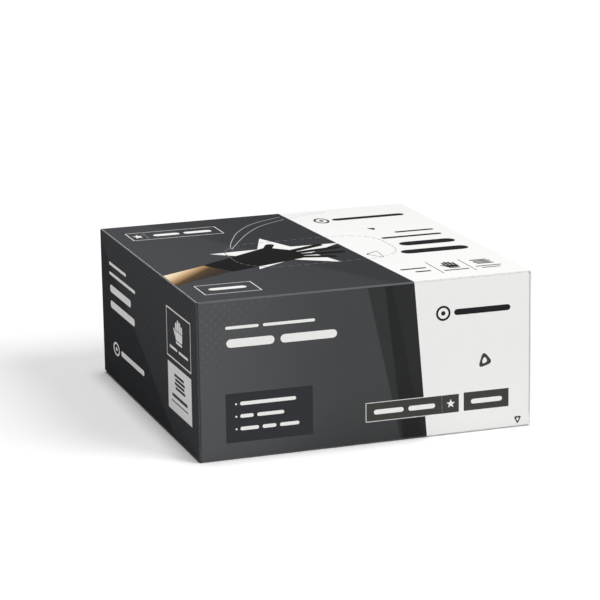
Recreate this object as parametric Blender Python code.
"""A folding paperboard carton of disposable gloves.

Both of its ends open: an end panel swings up on the crease along the top panel, its tuck flap
slides out of the carton, and two dust flaps swing out behind it. A cover with rounded corners
tears out of the top panel along a perforation, and the gloves are then pulled out through it.

Metres, +Z up, +Y from front to back, +X from left to right. The origin is the middle of the underside.
"""

import math

import bpy
from mathutils import Matrix, Vector

# ---------------------------------------------------------------- overall size
LENGTH = 0.126  # left end to right end
WIDTH = 0.130  # front to back
HEIGHT = 0.058

# ---------------------------------------------------------------- the board and its fits
BOARD = 0.0005  # thickness of the paperboard
GAP = 0.0003  # between faces that touch on the real carton

# ---------------------------------------------------------------- tear-out cover, in the top panel
COVER_LENGTH = 0.0622  # along X
COVER_WIDTH = 0.0410  # along Y
COVER_CORNER = 0.0152  # radius of its corners
COVER_BACK = -0.0041  # its centre, measured from the middle of the carton towards the back

# ---------------------------------------------------------------- flaps
DUST_LENGTH = 0.040
DUST_CORNER = 0.004
DUST_TURN = 0.5  # turn of a dust flap for each turn of its end panel
TUCK_LENGTH = 0.014
TUCK_CORNER = 0.008
TUCK_SIDE_CLEARANCE = 0.0005  # between the tuck flap and the glue flap
TUCK_TURN = 0.25  # how far the tuck crease springs open for each turn of its end panel
FLAP_CLEARANCE = 0.0008  # between the tuck flap's tip and a dust flap's lower edge
GLUE_FLAP_HEIGHT = 0.015
GLUE_FLAP_TAPER = 0.005  # how much shorter each end of the glue flap is along its free edge

# ---------------------------------------------------------------- gloves
PAIR_COUNT = 25  # each solid is two folded gloves, one interleaved with the other
GLOVE_CORNER = 0.014
GLOVE_END_CLEARANCE = 0.0016  # from the gloves to a tuck flap's tip
GLOVE_SIDE_CLEARANCE = 0.0045  # from the gloves to the front and back panels
HEADSPACE = 0.0057  # from the top glove to the top panel

# ---------------------------------------------------------------- drawing
ARC_STEPS = 6  # straight steps in each rounded corner
COVER_ARC_STEPS = 10

# Places that several pieces share
HALF_LENGTH = LENGTH / 2
HALF_WIDTH = WIDTH / 2
BODY_HALF_LENGTH = HALF_LENGTH - BOARD - GAP  # where the four long panels stop
INNER_HALF_WIDTH = HALF_WIDTH - BOARD - GAP  # inside the front and back panels
FLOOR = BOARD + GAP  # lowest place for what stands on the bottom panel
CEILING = HEIGHT - BOARD - GAP
TUCK_HALF_WIDTH = HALF_WIDTH - 2 * BOARD - GAP - TUCK_SIDE_CLEARANCE

PRINTED_DARK = ("printed_board_dark", (0.060, 0.063, 0.068), 0.45)
PRINTED_WHITE = ("printed_board_white", (0.86, 0.86, 0.85), 0.45)
GREY_BOARD = ("uncoated_board", (0.62, 0.58, 0.52), 0.90)
NITRILE = ("black_nitrile", (0.018, 0.018, 0.020), 0.55)


def clear_scene():
    for old in list(bpy.data.objects):
        bpy.data.objects.remove(old, do_unlink=True)


def finish_of(spec):
    """The material with this name, made the first time that it is asked for."""
    name, colour, roughness = spec
    found = bpy.data.materials.get(name)
    if found:
        return found
    made = bpy.data.materials.new(name)
    made.use_nodes = True
    shader = made.node_tree.nodes["Principled BSDF"]
    shader.inputs["Base Color"].default_value = (*colour, 1.0)
    shader.inputs["Roughness"].default_value = roughness
    shader.inputs["Metallic"].default_value = 0.0
    return made


def arc(centre, radius, start, turn, steps):
    """Points round part of a circle. Angles are in degrees, anticlockwise."""
    points = []
    for step in range(steps + 1):
        angle = math.radians(start + turn * step / steps)
        points.append((centre[0] + radius * math.cos(angle), centre[1] + radius * math.sin(angle)))
    return points


def rectangle(low, high):
    return [low, (high[0], low[1]), high, (low[0], high[1])]


def rounded_rectangle(half_x, half_y, radius, steps, centre=(0.0, 0.0)):
    points = []
    for start, sign_x, sign_y in ((0, 1, 1), (90, -1, 1), (180, -1, -1), (270, 1, -1)):
        corner = (centre[0] + sign_x * (half_x - radius), centre[1] + sign_y * (half_y - radius))
        points += arc(corner, radius, start, 90, steps)
    return points


def hinge_empty(name, place, collection):
    """An empty on a joint's axis, which the moving piece is parented to."""
    empty = bpy.data.objects.new(name, None)
    empty.empty_display_size = 0.01
    empty.location = place
    collection.objects.link(empty)
    return empty


def sheet(name, outlines, thickness, middle, along_u, along_v, finish, collection, hinge=None):
    """A flat piece. Its outlines are drawn on the plane through middle that along_u and along_v span.

    The first outline is its edge, and any others are holes. The thickness is centred on the plane.
    """
    curve = bpy.data.curves.new(name, "CURVE")
    curve.dimensions = "2D"
    curve.fill_mode = "BOTH"
    curve.extrude = thickness / 2
    for outline in outlines:
        spline = curve.splines.new("POLY")
        spline.points.add(len(outline) - 1)
        for point, (u, v) in zip(spline.points, outline):
            point.co = (u, v, 0.0, 1.0)
        spline.use_cyclic_u = True
    piece = bpy.data.objects.new(name, curve)
    across = Vector(along_u).cross(Vector(along_v))
    turn = Matrix((along_u, along_v, across)).transposed().to_4x4()
    piece.matrix_world = Matrix.Translation(middle) @ turn
    piece.data.materials.append(finish_of(finish))
    collection.objects.link(piece)
    if hinge:
        piece.parent = hinge
        piece.matrix_parent_inverse = Matrix.Translation(hinge.location).inverted()
    return piece


# ---------------------------------------------------------------- the fixed panels
X_AXIS = (1.0, 0.0, 0.0)
Y_AXIS = (0.0, 1.0, 0.0)
Z_AXIS = (0.0, 0.0, 1.0)


def make_bottom_panel(collection):
    edge = rectangle((-BODY_HALF_LENGTH, -HALF_WIDTH), (BODY_HALF_LENGTH, HALF_WIDTH))
    middle = (0, 0, BOARD / 2)
    sheet("bottom_panel", [edge], BOARD, middle, X_AXIS, Y_AXIS, PRINTED_WHITE, collection)


def make_top_panel(collection):
    edge = rectangle((-BODY_HALF_LENGTH, -HALF_WIDTH), (BODY_HALF_LENGTH, HALF_WIDTH))
    hole = rounded_rectangle(
        COVER_LENGTH / 2 + GAP / 2,
        COVER_WIDTH / 2 + GAP / 2,
        COVER_CORNER + GAP / 2,
        COVER_ARC_STEPS,
        (0, COVER_BACK),
    )
    middle = (0, 0, HEIGHT - BOARD / 2)
    sheet("top_panel", [edge, hole], BOARD, middle, X_AXIS, Y_AXIS, PRINTED_DARK, collection)


def make_tear_out_cover(collection):
    edge = rounded_rectangle(
        COVER_LENGTH / 2 - GAP / 2,
        COVER_WIDTH / 2 - GAP / 2,
        COVER_CORNER - GAP / 2,
        COVER_ARC_STEPS,
    )
    middle = (0, COVER_BACK, HEIGHT - BOARD / 2)
    lift = hinge_empty("cover_lift", middle, collection)
    sheet("tear_out_cover", [edge], BOARD, middle, X_AXIS, Y_AXIS, PRINTED_DARK, collection, lift)


def make_long_sides(collection):
    """The front and back panels, which stand between the bottom and top panels."""
    edge = rectangle((-BODY_HALF_LENGTH, FLOOR), (BODY_HALF_LENGTH, CEILING))
    for name, side in (("front_panel", -1), ("back_panel", 1)):
        middle = (0, side * (HALF_WIDTH - BOARD / 2), 0)
        sheet(name, [edge], BOARD, middle, X_AXIS, Z_AXIS, PRINTED_DARK, collection)


def make_glue_flap(collection):
    """The strip along the bottom panel's back edge, glued up inside the back panel."""
    root = BODY_HALF_LENGTH - GLUE_FLAP_TAPER
    tip = root - GLUE_FLAP_TAPER
    edge = [(-root, FLOOR), (root, FLOOR), (tip, GLUE_FLAP_HEIGHT), (-tip, GLUE_FLAP_HEIGHT)]
    middle = (0, INNER_HALF_WIDTH - BOARD / 2, 0)
    sheet("glue_flap", [edge], BOARD, middle, X_AXIS, Z_AXIS, GREY_BOARD, collection)


# ---------------------------------------------------------------- the ends
def tuck_tilt():
    """The tuck flap's upward slope, in radians.

    Its tip swings down a little as the end panel starts to open, more so the longer the flap and
    the lower the carton. This slope is what keeps the tip off the bottom panel.
    """
    drop = HEIGHT - FLOOR
    reach = (1 + TUCK_TURN) * TUCK_LENGTH + BOARD + GAP
    return reach**2 / (2 * drop * TUCK_LENGTH)


def tuck_root():
    """How far the tuck flap's root stands from the carton's middle, so its upper edge clears the panel."""
    return BODY_HALF_LENGTH - BOARD * math.sin(tuck_tilt())


def tuck_top():
    """Highest point of the tuck flap above the ground."""
    tilt = tuck_tilt()
    return FLOOR + TUCK_LENGTH * math.sin(tilt) + BOARD * math.cos(tilt)


def make_end_panel(end, side, collection):
    edge = rectangle((-HALF_WIDTH, 0), (HALF_WIDTH, HEIGHT))
    hinge = hinge_empty(f"{end}_end_hinge", (side * HALF_LENGTH, 0, HEIGHT), collection)
    middle = (side * (HALF_LENGTH - BOARD / 2), 0, 0)
    finish = PRINTED_DARK if side < 0 else PRINTED_WHITE
    name = f"{end}_end_panel"
    sheet(name, [edge], BOARD, middle, Y_AXIS, Z_AXIS, finish, collection, hinge)


def make_tuck_flap(end, side, collection):
    tilt = tuck_tilt()
    corner_u = TUCK_HALF_WIDTH - TUCK_CORNER
    corner_v = TUCK_LENGTH - TUCK_CORNER
    edge = [(-TUCK_HALF_WIDTH, 0), (TUCK_HALF_WIDTH, 0)]
    edge += arc((corner_u, corner_v), TUCK_CORNER, 0, 90, ARC_STEPS)
    edge += arc((-corner_u, corner_v), TUCK_CORNER, 90, 90, ARC_STEPS)
    root = Vector((side * tuck_root(), 0, FLOOR))
    inwards = Vector((-side * math.cos(tilt), 0, math.sin(tilt)))
    upwards = Vector((side * math.sin(tilt), 0, math.cos(tilt)))
    hinge = hinge_empty(f"{end}_tuck_hinge", root, collection)
    middle = root + upwards * BOARD / 2
    name = f"{end}_tuck_flap"
    sheet(name, [edge], BOARD, middle, Y_AXIS, inwards, GREY_BOARD, collection, hinge)


def make_dust_flap(end, side, face, depth_side, collection):
    """A flap on the front or back panel's end, just inside the end panel.

    Its upper edge slopes down at the rate at which it turns with the end panel, so no part of it
    is ever swung further out than the end panel has moved.
    """
    low = tuck_top() + FLAP_CLEARANCE
    tip_high = CEILING - DUST_TURN * DUST_LENGTH
    corner_u = DUST_LENGTH - DUST_CORNER
    edge = [(0, low)]
    edge += arc((corner_u, low + DUST_CORNER), DUST_CORNER, 270, 90, ARC_STEPS)
    edge += [(DUST_LENGTH, tip_high), (0, CEILING)]
    root_y = depth_side * INNER_HALF_WIDTH
    hinge_place = (side * BODY_HALF_LENGTH, root_y, low)
    hinge = hinge_empty(f"{end}_{face}_dust_hinge", hinge_place, collection)
    middle = (side * (BODY_HALF_LENGTH - BOARD / 2), root_y, 0)
    inwards = (0.0, -float(depth_side), 0.0)
    name = f"{end}_{face}_dust_flap"
    sheet(name, [edge], BOARD, middle, inwards, Z_AXIS, GREY_BOARD, collection, hinge)


def make_ends(collection):
    for end, side in (("left", -1), ("right", 1)):
        make_end_panel(end, side, collection)
        make_tuck_flap(end, side, collection)
        for face, depth_side in (("front", -1), ("back", 1)):
            make_dust_flap(end, side, face, depth_side, collection)


# ---------------------------------------------------------------- the gloves
def make_gloves(collection):
    """A stack of flat bundles, each of them two gloves folded across the middle of their length."""
    half_x = tuck_root() - TUCK_LENGTH - GLOVE_END_CLEARANCE
    half_y = HALF_WIDTH - BOARD - GLOVE_SIDE_CLEARANCE
    pitch = (HEIGHT - BOARD - HEADSPACE - FLOOR) / PAIR_COUNT
    thickness = pitch - GAP
    edge = rounded_rectangle(half_x, half_y, GLOVE_CORNER, ARC_STEPS)
    for number in range(PAIR_COUNT):
        middle = (0, 0, FLOOR + number * pitch + thickness / 2)
        name = f"glove_pair_{number + 1:02d}"
        sheet(name, [edge], thickness, middle, X_AXIS, Y_AXIS, NITRILE, collection)


def main():
    clear_scene()
    collection = bpy.data.collections.new("glove_carton")
    bpy.context.scene.collection.children.link(collection)
    make_bottom_panel(collection)
    make_long_sides(collection)
    make_glue_flap(collection)
    make_top_panel(collection)
    make_tear_out_cover(collection)
    make_ends(collection)
    make_gloves(collection)


main()
